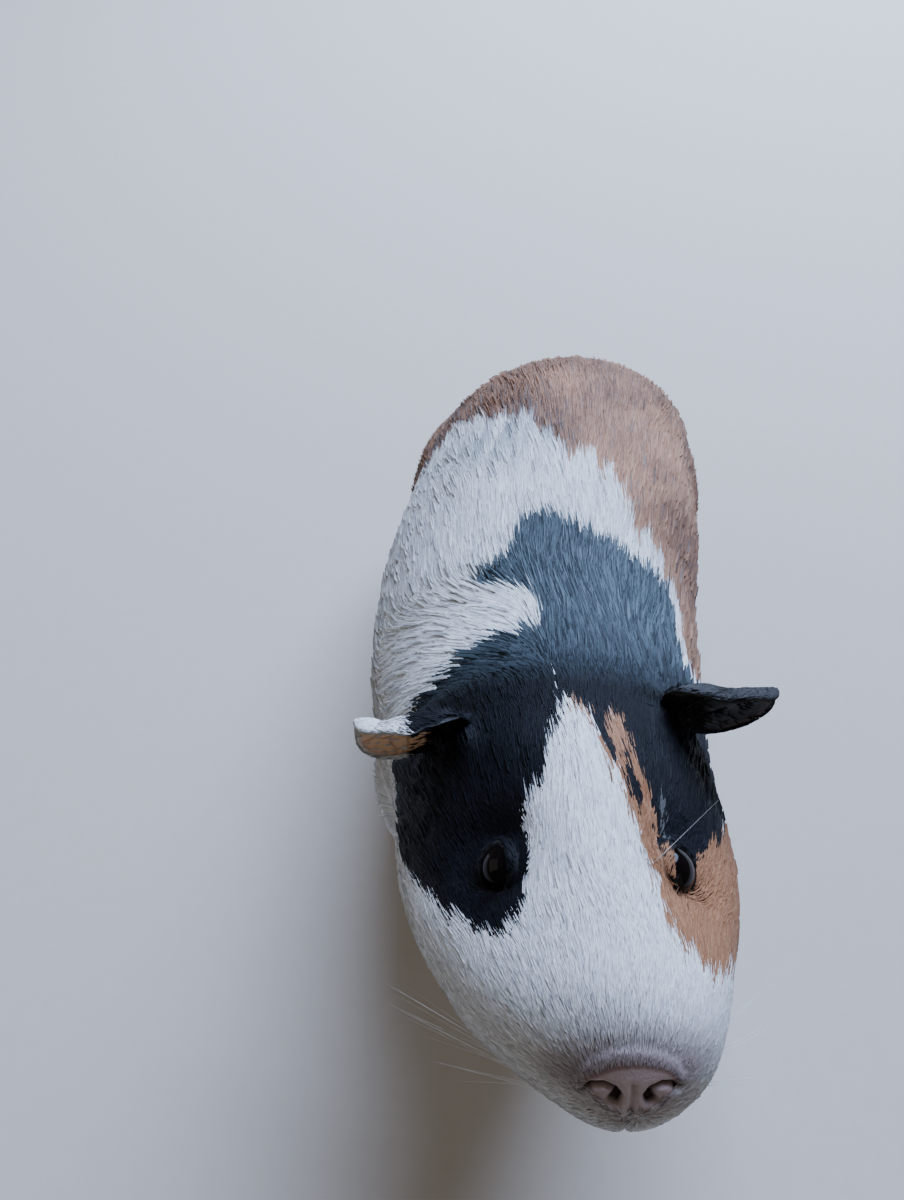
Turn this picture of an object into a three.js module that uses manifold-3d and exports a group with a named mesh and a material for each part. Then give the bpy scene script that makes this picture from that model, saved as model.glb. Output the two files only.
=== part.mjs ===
// A young short-haired guinea pig as a life-size still model. It stands on four feet with its
// head raised to sniff upwards. The nose points along -Y, the animal's left is +X and +Z is up.
// The origin is on the floor, under the middle of the animal. All sizes are in millimetres and
// reach the tips of the coat.
//
// The trunk, neck and head are one smooth loft from the nose to the rump, parted by thin cuts.
// Legs, feet, toes and ears are lofts of their own, trimmed back where they leave the body.
import * as THREE from "three";
import { mergeVertices } from "three/addons/utils/BufferGeometryUtils.js";
import Module from "manifold-3d";

const wasm = await Module();
wasm.setup();

// ---------------------------------------------------------------- driving dimensions

const NOSE_Y = -105.85; // the nose lies this far in front of the origin
const SIDE_X = -2.4; // and the head's line about this far to the animal's right
const GAP = 0.3; // free space between two pieces that meet
const LEFT = 1;
const RIGHT = -1;

// Stations of the body, from the lips to the rump. back is the distance behind the nose's middle,
// level the height of the widest line, side its swing to the animal's left. half is half the
// width there, above and below the reach from that line. crest and keel are the roundness of
// the upper and lower half: 2 is an ellipse, less is more pointed, more is more square.
const STATIONS = [
  { name: "lips", back: -2.3, level: 91, side: 1.6, half: 9, above: 10, below: 10, crest: 2.1, keel: 2.2 },
  { name: "nose", back: 4, level: 92.3, side: 1.8, half: 12.2, above: 12, below: 13, crest: 2.1, keel: 2.3 },
  { name: "muzzle", back: 13, level: 92, side: -1.6, half: 19.8, above: 17, below: 22.5, crest: 1.9, keel: 2.3 },
  { name: "face", back: 26, level: 86, side: -2.9, half: 27, above: 23, below: 24.5, crest: 1.65, keel: 2.3 },
  { name: "eyes", back: 38, level: 80.5, side: -3, half: 30.5, above: 28, below: 25, crest: 1.55, keel: 2.2 },
  { name: "cheeks", back: 50, level: 75, side: -3.2, half: 32, above: 32, below: 30.5, crest: 1.65, keel: 2.2 },
  { name: "crown", back: 61, level: 69, side: -3.8, half: 33, above: 35, below: 43, crest: 1.85, keel: 2.2 },
  { name: "nape", back: 75, level: 59.5, side: -4.2, half: 36.5, above: 37.5, below: 45.5, crest: 2, keel: 2.2 },
  { name: "shoulder", back: 92, level: 52, side: -4.5, half: 39.5, above: 38, below: 40, crest: 2.1, keel: 2.2 },
  { name: "ribs", back: 114, level: 48, side: -3.5, half: 41.5, above: 38.5, below: 37, crest: 2.1, keel: 2.3 },
  { name: "loin", back: 140, level: 46, side: 0.5, half: 43, above: 40, below: 35.5, crest: 2.1, keel: 2.3 },
  { name: "hips", back: 168, level: 44.5, side: 5.5, half: 40.5, above: 39.5, below: 33.5, crest: 2.1, keel: 2.3 },
  { name: "rump", back: 192, level: 43.5, side: 10, half: 40, above: 38.5, below: 31, crest: 2.1, keel: 2.2 },
  { name: "tail root", back: 214, level: 42.5, side: 13.5, half: 39, above: 37.5, below: 30, crest: 2, keel: 2 },
];
const NOSE_ROUNDING = 8; // the ends close over this length of the body's line
const RUMP_ROUNDING = 38;
const BODY_RINGS = 38;
const BODY_SIDES = 32;
const RING_EASING = 0.7; // how far the rings draw together at the ends of a loft

// Lobes of flesh on both sides: back is the place behind the nose, around the angle from the
// crest in degrees, and length, spread and height the lobe's size. A hollow has no height left.
const LOBES = [
  { name: "eye hollow", back: 37, around: 36, length: 10, spread: 16, height: -2.8 },
  { name: "whisker pad", back: 10, around: 100, length: 8, spread: 34, height: 1.2 },
  { name: "chin", back: 11, around: 180, length: 6, spread: 26, height: 1.2 },
  { name: "throat", back: 30, around: 180, length: 10, spread: 40, height: -2.6 },
  { name: "jowl", back: 42, around: 112, length: 15, spread: 36, height: 1.6 },
];

// The planes that part the head from the neck and the neck from the trunk: each leans forwards
// at its foot, by lean in degrees.
const HEAD_CUT = { back: 74, level: 84, lean: 24 };
const NECK_CUT = { back: 94, level: 52, lean: 14 };

const NOSE_PAD = { back: 2.8, side: 0.9, level: 101.6, radii: [8, 5.5, 5.8] };

const EYE_RADIUS = 5.1;
const EYES = [
  { name: "eye_left", x: 11.4, back: 36, level: 95.8 },
  { name: "eye_right", x: -15.2, back: 36, level: 96.6 },
];

// An ear is a petal from a root in the head to a blunt tip, hanging by its width. It narrows by
// taper, both edges come forwards by curl, the upper one by hood as well, like a small awning, and
// the lower one by lobe where it joins the cheek.
const EAR_THICK = 1.5;
const EAR_EDGE = 0.4; // how late its thickness runs out: 1 is evenly, 0 is at the very edge
const EARS = [
  {
    name: "ear_left",
    root: { x: 19.5, back: 70.4, level: 94.4 },
    tip: { x: 36.3, back: 69.6, level: 99.2 },
    hang: [0.2, 0.12, -1],
    width: 25.2,
    taper: 0.5,
    curl: 2,
    hood: 2.2,
    lobe: 3.5,
  },
  {
    name: "ear_right",
    root: { x: -24.6, back: 64, level: 96.4 },
    tip: { x: -43.6, back: 63.4, level: 97.6 },
    hang: [-0.06, 0.05, -1],
    width: 19.2,
    taper: 0.1,
    curl: 2.6,
    hood: 3.2,
    lobe: 0,
  },
];

// Stations of the legs, from the top down: out is the distance from the body's line, back the
// distance behind the nose, half and deep half the width across and along the body.
const FORELEG = [
  { out: 22, back: 86, level: 62, half: 7, deep: 9 },
  { out: 27, back: 80, level: 50, half: 12, deep: 16 },
  { out: 27.5, back: 77.5, level: 37, half: 12, deep: 16.5 },
  { out: 25, back: 77, level: 24, half: 9.5, deep: 13 },
  { out: 21.5, back: 76, level: 13, half: 6.5, deep: 8 },
  { out: 20.5, back: 75, level: 5, half: 5, deep: 5.5 },
];
const HINDLEG = [
  { out: 26, back: 182, level: 60, half: 9, deep: 14 },
  { out: 29.5, back: 176, level: 47, half: 13.2, deep: 22 },
  { out: 30, back: 172, level: 34, half: 13.7, deep: 24 },
  { out: 28.5, back: 171, level: 21, half: 11.5, deep: 19 },
  { out: 25, back: 176, level: 12, half: 7, deep: 11 },
  { out: 24, back: 180, level: 5, half: 5.5, deep: 7 },
];
// Shares of a limb's length over which its ends close.
const LEG_ROUNDING = 0.12;
const SOLE_ROUNDING = 0.2;
const TOE_ROUNDING = 0.3;
const CLAW_ROUNDING = 0.12;
const EAR_ROOT_ROUNDING = 0.1;
const EAR_TIP_ROUNDING = 0.2;

// Stations of the feet, from the heel forwards: half is half the width, level the middle's
// height and high half the height. The sole is cut flat on the floor.
const FOREFOOT = [
  { back: 81, level: 4, half: 4.5, high: 4.5 },
  { back: 75, level: 4.5, half: 5.6, high: 5.5 },
  { back: 69, level: 3, half: 6.2, high: 4.2 },
  { back: 64.5, level: 2.2, half: 5.6, high: 3 },
];
const HINDFOOT = [
  { back: 189, level: 4.5, half: 4.6, high: 5 },
  { back: 180, level: 4.5, half: 5.6, high: 5.5 },
  { back: 170, level: 3.2, half: 6, high: 4.4 },
  { back: 162, level: 2.6, half: 6.2, high: 3.4 },
  { back: 158, level: 2.2, half: 5.8, high: 2.8 },
];
const LEGS = [
  {
    leg: "foreleg",
    stations: FORELEG,
    foot: {
      name: "forefoot",
      claw: "foreclaw",
      stations: FOREFOOT,
      out: 20.5,
      turn: 10,
      toes: 4,
      spread: 13,
      reach: 6.5,
      thick: 2.1,
    },
  },
  {
    leg: "hindleg",
    stations: HINDLEG,
    foot: {
      name: "hindfoot",
      claw: "hindclaw",
      stations: HINDFOOT,
      out: 24,
      turn: 12,
      toes: 3,
      spread: 10,
      reach: 8.5,
      thick: 2.4,
    },
  },
];
const TOE_FAN = 9; // degrees between neighbouring toes
const TOE_BURIED = 4; // a toe starts this far inside its foot
const TOE_LEVEL = 2.3;
const TOE_TAPER = 0.85; // its thickness at the end, as a share of that at the root
const TOE_STAGGER = 0.09; // how much shorter the outer toes are, by the square of their place
const CLAW = { length: 3.8, buried: 2, radius: 1.1, tip: 0.4, drop: 1.2 };

const UP = new THREE.Vector3(0, 0, 1);

// ---------------------------------------------------------------- solids

// A closed three.js geometry as a manifold solid.
function solid(geometry) {
  const bare = geometry.clone();
  bare.deleteAttribute("normal");
  bare.deleteAttribute("uv");
  const merged = mergeVertices(bare, 1e-4);
  const kept = [];
  const index = merged.index.array;
  for (let i = 0; i < index.length; i += 3) {
    const [a, b, c] = index.slice(i, i + 3);
    if (a !== b && b !== c && a !== c) kept.push(a, b, c);
  }
  return new wasm.Manifold(
    new wasm.Mesh({
      numProp: 3,
      vertProperties: merged.attributes.position.array,
      triVerts: new Uint32Array(kept),
    }),
  );
}

// The biggest of a solid's separate bodies.
function biggest(cut) {
  return cut.decompose().reduce((a, b) => (a.volume() > b.volume() ? a : b));
}

function geometryOf(made) {
  const { vertProperties, triVerts } = made.getMesh();
  const geometry = new THREE.BufferGeometry();
  geometry.setAttribute("position", new THREE.BufferAttribute(vertProperties, 3));
  geometry.setIndex(new THREE.BufferAttribute(triVerts, 1));
  geometry.computeVertexNormals();
  return geometry;
}

// A closed skin over rings: ring(t, angle) gives the point at the share t of the length and the
// angle round it, from 0 to a full turn. Both ends close to a point.
function skin(sides, rings, ring) {
  const geometry = new THREE.SphereGeometry(1, sides, rings);
  const { position, uv } = geometry.attributes;
  for (let i = 0; i < position.count; i++) {
    const point = ring(1 - uv.getY(i), (1 - uv.getX(i)) * 2 * Math.PI);
    position.setXYZ(i, point.x, point.y, point.z);
  }
  return solid(geometry);
}

// A cosine or sine, bent towards a square section as power grows past 2.
function bent(value, power) {
  return Math.sign(value) * Math.abs(value) ** (2 / power);
}

// How far an end has opened at a distance from it: a quarter ellipse.
function opening(distance, length) {
  const rest = 1 - Math.min(Math.max(distance / length, 0), 1);
  return Math.sqrt(1 - rest * rest);
}

// The same for both ends of a limb, by the share of its length.
function ends(share, first, last) {
  return opening(share, first) * opening(1 - share, last);
}

// Even shares of a length, drawn together at both ends so that the caps come out round.
function eased(t, amount) {
  return THREE.MathUtils.lerp(t, 0.5 - 0.5 * Math.cos(Math.PI * t), amount);
}

function ellipsoid(centre, radii, grow = 0) {
  const geometry = new THREE.SphereGeometry(1, 14, 9);
  geometry.scale(...radii.map((radius) => radius + grow));
  geometry.translate(centre.x, centre.y, centre.z);
  return solid(geometry);
}

function block(width, depth, height, centre, lean) {
  const geometry = new THREE.BoxGeometry(width, depth, height);
  geometry.rotateX(THREE.MathUtils.degToRad(-lean));
  geometry.translate(centre.x, centre.y, centre.z);
  return solid(geometry);
}

// ---------------------------------------------------------------- trunk, neck and head

function curveThrough(pick, type) {
  const points = STATIONS.map((station) => new THREE.Vector3(...pick(station)));
  return new THREE.CatmullRomCurve3(points, false, type);
}

const line = curveThrough((s) => [SIDE_X + s.side, NOSE_Y + s.back, s.level], "centripetal");
const sizes = curveThrough((s) => [s.half, s.above, s.below], "catmullrom");
const shapes = curveThrough((s) => [s.crest, s.keel, 0], "catmullrom");

// The share of the line at a distance behind the nose.
function shareAt(back) {
  let low = 0;
  let high = 1;
  for (let i = 0; i < 30; i++) {
    const middle = (low + high) / 2;
    if (line.getPoint(middle).y - NOSE_Y < back) low = middle;
    else high = middle;
  }
  return low;
}

function lobeAt(back, around) {
  const off = THREE.MathUtils.radToDeg(Math.abs(around));
  return LOBES.reduce((sum, lobe) => {
    const along = (back - lobe.back) / lobe.length;
    const round = (off - lobe.around) / lobe.spread;
    return sum + lobe.height * Math.exp(-along * along - round * round);
  }, 0);
}

// A point of the body's surface. around is the angle from the crest, positive to the left.
// Every section stands upright and square to the Y axis.
function bodyPoint(share, around, grow = 0) {
  const centre = line.getPoint(share);
  const { x: half, y: above, z: below } = sizes.getPoint(share);
  const { x: crest, y: keel } = shapes.getPoint(share);
  const behind = centre.y - NOSE_Y;
  const open =
    opening(centre.y - line.getPoint(0).y, NOSE_ROUNDING) *
    opening(line.getPoint(1).y - centre.y, RUMP_ROUNDING);
  const power = Math.cos(around) > 0 ? crest : keel;
  const reach = Math.cos(around) > 0 ? above : below;
  const out = new THREE.Vector2(
    open * half * bent(Math.sin(around), power),
    open * reach * bent(Math.cos(around), power),
  );
  if (out.length() > 0) out.setLength(out.length() + open * lobeAt(behind, around) + grow);
  return centre.add(new THREE.Vector3(out.x, 0, out.y));
}

function bodySolid(grow = 0) {
  return skin(BODY_SIDES, BODY_RINGS, (t, angle) => {
    const around = angle > Math.PI ? angle - 2 * Math.PI : angle;
    return bodyPoint(eased(t, RING_EASING), around, grow);
  });
}

// A thin upright slab across the body, leaning forwards at its foot.
function slabAt({ back, level, lean }) {
  return block(200, GAP, 300, { x: 0, y: NOSE_Y + back, z: level }, lean);
}

const body = bodySolid();
const grown = bodySolid(GAP);

// ---------------------------------------------------------------- limbs

function curveOf(points) {
  return new THREE.CatmullRomCurve3(points, false, "centripetal");
}

// A leg through stations of level sections, from the top down.
function leg(stations, side) {
  const path = curveOf(stations.map((s) => onSide(s.out, s.back, s.level, side)));
  const girth = curveOf(stations.map((s, i) => new THREE.Vector3(s.half, s.deep, i)));
  return skin(14, 9, (t, angle) => {
    const share = eased(t, RING_EASING);
    const centre = path.getPoint(share);
    const size = girth.getPoint(share);
    const open = ends(share, LEG_ROUNDING, LEG_ROUNDING);
    centre.x += open * size.x * Math.sin(angle);
    centre.y += open * size.y * Math.cos(angle);
    return centre;
  });
}

// The point at a distance out from the body's line, on one side.
function onSide(out, back, level, side) {
  const middle = line.getPoint(shareAt(back)).x;
  return new THREE.Vector3(middle + side * out, NOSE_Y + back, level);
}

// A foot through upright sections, with its toes, turned outwards.
function foot(shape, side, grow = 0) {
  const { stations, thick } = shape;
  const heel = stations[0].back;
  const path = curveOf(stations.map((s) => new THREE.Vector3(0, s.back - heel, s.level)));
  const girth = curveOf(stations.map((s, i) => new THREE.Vector3(s.half, s.high, i)));
  const sole = skin(12, 9, (t, angle) => {
    const share = eased(t, RING_EASING);
    const centre = path.getPoint(share);
    const size = girth.getPoint(share);
    const open = ends(share, SOLE_ROUNDING, SOLE_ROUNDING);
    centre.x -= open * (size.x + grow) * Math.sin(angle);
    centre.z += open * (size.y + grow) * Math.cos(angle);
    return centre;
  });
  const fingers = toeLines(shape).map(({ from, to }) => bar(from, to, thick, grow));
  return place(wasm.Manifold.union([sole, ...fingers]), shape, side);
}

// A rounded bar from one point to another, a little slimmer at its far end.
function bar(from, to, thick, grow) {
  const along = new THREE.Vector3().subVectors(to, from);
  const across = new THREE.Vector3().crossVectors(along, UP).normalize();
  const reach = 1 + grow / along.length();
  return skin(7, 4, (t, angle) => {
    const share = eased(t, 1);
    const width = thick * THREE.MathUtils.lerp(1, TOE_TAPER, share) + grow;
    const open = ends(share, TOE_ROUNDING, TOE_ROUNDING);
    return from
      .clone()
      .addScaledVector(along, share * reach)
      .addScaledVector(across, open * width * Math.sin(angle))
      .addScaledVector(UP, open * width * Math.cos(angle));
  });
}

// Where a foot's toes start and end, before the foot is put in its place.
function toeLines({ stations, toes, spread, reach }) {
  const front = stations.at(-1).back - stations[0].back;
  return Array.from({ length: toes }, (_, i) => {
    const off = i - (toes - 1) / 2;
    const fan = THREE.MathUtils.degToRad(off * TOE_FAN);
    const length = reach * (1 - TOE_STAGGER * off * off) + TOE_BURIED;
    const from = new THREE.Vector3((off * spread) / toes, front + TOE_BURIED, TOE_LEVEL);
    const to = from.clone();
    to.x += length * Math.sin(fan);
    to.y -= length * Math.cos(fan);
    return { from, to };
  });
}

// Turns a foot's solid outwards from the line of the body and stands it under its leg.
function place(made, { stations, out, turn }, side) {
  const heel = stations[0].back;
  const at = onSide(out, heel, 0, side);
  const { x, y } = line.getTangent(shareAt(heel));
  const swing = THREE.MathUtils.radToDeg(Math.atan2(x, y));
  return made.rotate([0, 0, side * turn - swing]).translate([at.x, at.y, at.z]);
}

// A claw: a tapered bar that bends down, from inside the toe's end.
function claw({ from, to }) {
  const along = new THREE.Vector3().subVectors(to, from).normalize();
  const across = new THREE.Vector3().crossVectors(along, UP).normalize();
  return skin(5, 4, (t, angle) => {
    const open = ends(t, CLAW_ROUNDING, CLAW_ROUNDING);
    const width = open * THREE.MathUtils.lerp(CLAW.radius, CLAW.tip, t);
    return to
      .clone()
      .addScaledVector(along, t * (CLAW.length + CLAW.buried) - CLAW.buried)
      .addScaledVector(across, width * Math.sin(angle))
      .addScaledVector(UP, width * Math.cos(angle) - CLAW.drop * t * t);
  });
}

// ---------------------------------------------------------------- ears

function ear({ root, tip, hang, width, taper, curl, hood, lobe }, grow = 0) {
  const start = new THREE.Vector3(SIDE_X + root.x, NOSE_Y + root.back, root.level);
  const end = new THREE.Vector3(SIDE_X + tip.x, NOSE_Y + tip.back, tip.level);
  const along = end.clone().sub(start);
  const down = new THREE.Vector3(...hang).normalize();
  const front = new THREE.Vector3().crossVectors(along, down).normalize();
  if (front.y > 0) front.negate();
  const turn = new THREE.Vector3().crossVectors(down, front).dot(along) > 0 ? 1 : -1;
  return skin(16, 12, (t, angle) => {
    const share = eased(t, RING_EASING);
    const open = ends(share, EAR_ROOT_ROUNDING, EAR_TIP_ROUNDING);
    const place = open * Math.cos(angle);
    const across = place * ((width / 2) * (1 - taper * share) + grow);
    const thick = open ** EAR_EDGE * (EAR_THICK / 2 + grow);
    const upper = Math.max(0, -place) ** 2.2;
    const lower = Math.max(0, place) * (1 - share) ** 1.5;
    const arch = curl * place ** 2 + hood * upper + lobe * lower;
    return start
      .clone()
      .addScaledVector(along, share)
      .addScaledVector(down, across)
      .addScaledVector(front, turn * thick * Math.sin(angle) + arch);
  });
}

// ---------------------------------------------------------------- putting it together

const pad = new THREE.Vector3(SIDE_X + NOSE_PAD.side, NOSE_Y + NOSE_PAD.back, NOSE_PAD.level);
const noseCut = ellipsoid(pad, NOSE_PAD.radii, GAP);
const nose = biggest(body.intersect(ellipsoid(pad, NOSE_PAD.radii)));

function eyeball({ x, back, level }, grow = 0) {
  const centre = new THREE.Vector3(SIDE_X + x, NOSE_Y + back, level);
  return ellipsoid(centre, [EYE_RADIUS, EYE_RADIUS, EYE_RADIUS], grow);
}

const eyeCuts = EYES.map((eye) => eyeball(eye, GAP));
const earCuts = EARS.map((shape) => ear(shape, GAP));
const parted = body.subtract(wasm.Manifold.union([slabAt(HEAD_CUT), slabAt(NECK_CUT)])).decompose();
parted.sort((a, b) => a.boundingBox().min[1] - b.boundingBox().min[1]);
const [headPart, neck, trunk] = parted;
const head = biggest(headPart.subtract(wasm.Manifold.union([noseCut, ...eyeCuts, ...earCuts])));

const group = new THREE.Group();

const COLOURS = {
  white: new THREE.MeshStandardMaterial({ color: "#dfe0dc", roughness: 0.85 }),
  black: new THREE.MeshStandardMaterial({ color: "#23242b", roughness: 0.75 }),
  ginger: new THREE.MeshStandardMaterial({ color: "#b98a66", roughness: 0.85 }),
  pink: new THREE.MeshStandardMaterial({ color: "#a98483", roughness: 0.6 }),
};

function addMesh(name, made, material) {
  const mesh = new THREE.Mesh(geometryOf(made), material.clone());
  mesh.name = name;
  group.add(mesh);
}

addMesh("head", head, COLOURS.white);
addMesh("nose", nose, COLOURS.pink);
addMesh("neck", neck, COLOURS.black);
addMesh("trunk", trunk, COLOURS.ginger);
EYES.forEach((eye) => addMesh(eye.name, eyeball(eye), COLOURS.black));
EARS.forEach((shape) => {
  const made = biggest(ear(shape));
  addMesh(shape.name, made, shape.name === "ear_left" ? COLOURS.black : COLOURS.pink);
});

const floor = block(400, 400, 40, { x: 0, y: 0, z: -20 }, 0);
for (const side of [LEFT, RIGHT]) {
  const word = side === LEFT ? "left" : "right";
  LEGS.forEach(({ leg: legName, stations, foot: shape }) => {
    const toesAndSole = foot(shape, side);
    const footCut = foot(shape, side, GAP);
    const limb = leg(stations, side).subtract(wasm.Manifold.union([grown, footCut, floor]));
    const tread = toesAndSole.subtract(wasm.Manifold.union([floor, grown]));
    addMesh(`${legName}_${word}`, biggest(limb), COLOURS.white);
    addMesh(`${shape.name}_${word}`, biggest(tread), COLOURS.pink);
    toeLines(shape).forEach((toe, i) => {
      const nail = biggest(place(claw(toe), shape, side).subtract(footCut));
      addMesh(`${shape.claw}_${word}_${i + 1}`, nail, COLOURS.pink);
    });
  });
}

export default group;
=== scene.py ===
import math
from functools import partial

import bmesh
import bpy
import numpy as np
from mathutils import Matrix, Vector
from mathutils.bvhtree import BVHTree


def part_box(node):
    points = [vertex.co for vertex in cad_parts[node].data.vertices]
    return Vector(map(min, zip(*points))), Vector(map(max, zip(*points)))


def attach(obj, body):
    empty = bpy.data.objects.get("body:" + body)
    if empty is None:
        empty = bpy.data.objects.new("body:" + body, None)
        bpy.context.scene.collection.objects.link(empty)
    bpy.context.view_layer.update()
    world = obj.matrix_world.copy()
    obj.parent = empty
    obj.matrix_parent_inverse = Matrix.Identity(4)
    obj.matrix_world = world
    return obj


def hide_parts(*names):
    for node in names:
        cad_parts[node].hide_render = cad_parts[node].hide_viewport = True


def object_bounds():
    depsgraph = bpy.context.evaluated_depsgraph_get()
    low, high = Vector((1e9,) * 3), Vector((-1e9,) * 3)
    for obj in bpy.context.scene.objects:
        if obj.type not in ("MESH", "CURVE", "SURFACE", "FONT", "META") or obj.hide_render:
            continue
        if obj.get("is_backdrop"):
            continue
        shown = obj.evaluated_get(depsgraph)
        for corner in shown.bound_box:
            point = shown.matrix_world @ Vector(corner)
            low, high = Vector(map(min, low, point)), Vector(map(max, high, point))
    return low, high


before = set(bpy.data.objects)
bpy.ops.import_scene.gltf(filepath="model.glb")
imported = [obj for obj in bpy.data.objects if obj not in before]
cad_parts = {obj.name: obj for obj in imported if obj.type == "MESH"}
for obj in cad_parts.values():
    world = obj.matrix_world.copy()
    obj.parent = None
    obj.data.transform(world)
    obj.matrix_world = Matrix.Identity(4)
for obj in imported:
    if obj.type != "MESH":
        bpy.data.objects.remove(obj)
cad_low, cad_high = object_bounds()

MM = 0.001

# ------ hide
# The hide is one skin over the whole animal, drawn over the solids of its flesh. They are melted
# together so that no seam is left, smoothed, and drawn in by the depth of the coat on each part.

FLESH = {
    "head": ["head", "eye_left", "eye_right"],
    "nose": ["nose"],
    "neck": ["neck"],
    "trunk": ["trunk"],
    "leg": ["foreleg_left", "foreleg_right", "hindleg_left", "hindleg_right"],
    "foot": ["forefoot_left", "forefoot_right", "hindfoot_left", "hindfoot_right"],
}
SWELL = 0.5 * MM  # closes the fine gaps between the solids and makes up for the smoothing
FEET_TOP = 0.02  # in m; below it the solids are slim, and swell by half as much
GRAIN = 1.1 * MM  # size of the melted skin's faces
PLUG = (5 * MM, 3.2 * MM, 9 * MM)  # the fleshy root that fills the slot of an ear
PLUG_LEVEL = 0.3  # where it sits, as a share of the ear's height
TINY = 1e-6


def smoothstep(value, low, high):
    share = np.clip((value - low) / (high - low), 0, 1)
    return share * share * (3 - 2 * share)


def array_of(collection, name, width, kind=np.float32):
    values = np.zeros(len(collection) * width, kind)
    collection.foreach_get(name, values)
    return values.reshape(-1, width) if width > 1 else values


def new_object(name, mesh):
    made = bpy.data.objects.new(name, mesh)
    bpy.context.scene.collection.objects.link(made)
    return made


def piece_of(name, shape, material):
    """A smooth object made of a bmesh."""
    mesh = bpy.data.meshes.new(name)
    shape.to_mesh(mesh)
    shape.free()
    mesh.polygons.foreach_set("use_smooth", np.ones(len(mesh.polygons), bool))
    mesh.materials.append(material)
    return new_object(name, mesh)


def middle(node):
    low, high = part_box(node)
    return (low + high) / 2


flesh = bmesh.new()
for nodes in FLESH.values():
    for node in nodes:
        flesh.from_mesh(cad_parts[node].data)
bmesh.ops.remove_doubles(flesh, verts=flesh.verts, dist=TINY)
owner_tree = BVHTree.FromBMesh(flesh)
owner_of_face = []
for part, (label, nodes) in enumerate(FLESH.items()):
    for node in nodes:
        owner_of_face += [part] * len(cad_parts[node].data.polygons)
flesh.normal_update()
for vert in flesh.verts:
    vert.co += vert.normal * SWELL * (1 if vert.co.z > FEET_TOP else 0.5)
for side in ("left", "right"):
    low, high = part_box(f"ear_{side}")
    inner = low.x if side == "left" else high.x
    plug = bmesh.ops.create_icosphere(flesh, subdivisions=3, radius=1)["verts"]
    bmesh.ops.scale(flesh, verts=plug, vec=PLUG)
    root = Vector((inner, (low.y + high.y) / 2, low.z + (high.z - low.z) * PLUG_LEVEL))
    bmesh.ops.translate(flesh, verts=plug, vec=root)
raw = bpy.data.meshes.new("flesh")
flesh.to_mesh(raw)
flesh.free()
melting = new_object("melting", raw)
remesh = melting.modifiers.new("melt", "REMESH")
remesh.mode = "VOXEL"
remesh.voxel_size = GRAIN
bpy.context.view_layer.update()
graph = bpy.context.evaluated_depsgraph_get()
skin = bmesh.new()
skin.from_mesh(bpy.data.meshes.new_from_object(melting.evaluated_get(graph)))
bpy.data.objects.remove(melting)

# The facets of the solids go, most on the trunk and least on the feet.
SMOOTHING = [(3, -1.0), (9, 0.016), (14, 0.03)]  # rounds, and the level in m that they start at
for rounds, level in SMOOTHING:
    chosen = [vert for vert in skin.verts if vert.co.z > level]
    for _ in range(rounds):
        bmesh.ops.smooth_vert(
            skin, verts=chosen, factor=0.5, use_axis_x=True, use_axis_y=True, use_axis_z=True
        )

# Around the eyes and the nose the faces are made finer, for the lids and nostrils.
EYES = {side: middle(f"eye_{side}") for side in ("left", "right")}
EYE_RADIUS = (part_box("eye_left")[1].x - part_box("eye_left")[0].x) / 2
NOSE = middle("nose")
LIPS = 2.3 * MM  # the raised muzzle's lips stand this far in front of the nose
nose_tip = cad_low.y + LIPS
FINE_SPOTS = [(EYES["left"], 8.5 * MM), (EYES["right"], 8.5 * MM), (NOSE, 13 * MM)]
for narrowing in (1, 0.85):
    near = []
    for edge in skin.edges:
        halfway = (edge.verts[0].co + edge.verts[1].co) / 2
        if any((halfway - spot).length < reach * narrowing for spot, reach in FINE_SPOTS):
            near.append(edge)
    bmesh.ops.subdivide_edges(skin, edges=near, cuts=1, use_grid_fill=True)
skin.normal_update()
hide_mesh = bpy.data.meshes.new("hide")
skin.to_mesh(hide_mesh)
skin.free()

points = array_of(hide_mesh.vertices, "co", 3).astype(float) / MM
edges = array_of(hide_mesh.edges, "vertices", 2, np.int32)
count = len(points)
degree = np.bincount(edges.ravel(), minlength=count)


def spread(values, rounds):
    """Evens values out over the skin, each round over one edge."""
    values = np.array(values, float)
    for _ in range(rounds):
        total = np.zeros_like(values)
        for column in range(values.shape[1]):
            for near, far in ((0, 1), (1, 0)):
                total[:, column] += np.bincount(
                    edges[:, near], values[edges[:, far], column], minlength=count
                )
        values = 0.5 * values + 0.5 * total / degree[:, None]
    return values


def normals_of(mesh):
    mesh.update()
    return array_of(mesh.vertices, "normal", 3).astype(float)


# How much each point belongs to each part of the body, run together where parts meet.
owners = np.zeros((count, len(FLESH)))
for number, point in enumerate(points):
    face = owner_tree.find_nearest(point * MM)[2]
    owners[number, owner_of_face[face]] = 1
MEETING_ROUNDS = 12
owners = spread(owners, MEETING_ROUNDS)
PARTS = list(FLESH)
back = points[:, 1] - nose_tip / MM

# Depth of the coat, in mm, by part; on the head it grows from the lips to the crown.
DEPTH = {"head": 1.9, "nose": 0.1, "neck": 3.3, "trunk": 3.0, "leg": 1.7, "foot": 0.5}
depth = owners @ [DEPTH[part] for part in PARTS]
FACE_SPAN = (4, 62)  # mm behind the nose
LIPS_THINNER = 0.72
face_share = 1 - smoothstep(back, *FACE_SPAN)
depth = depth * (1 - LIPS_THINNER * face_share)
points -= normals_of(hide_mesh) * depth[:, None]
# The upper lip is fuller on the right: mm from the nose, how wide and by how much.
LIP_AT = (-12.5, 3.5, -3)
LIP_WIDE = 9
LIP_RISE = 1.6
lip_reach = np.linalg.norm(points - np.array(NOSE) / MM - LIP_AT, axis=1)
points += normals_of(hide_mesh) * (LIP_RISE * np.exp(-((lip_reach / LIP_WIDE) ** 2)))[:, None]

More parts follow.
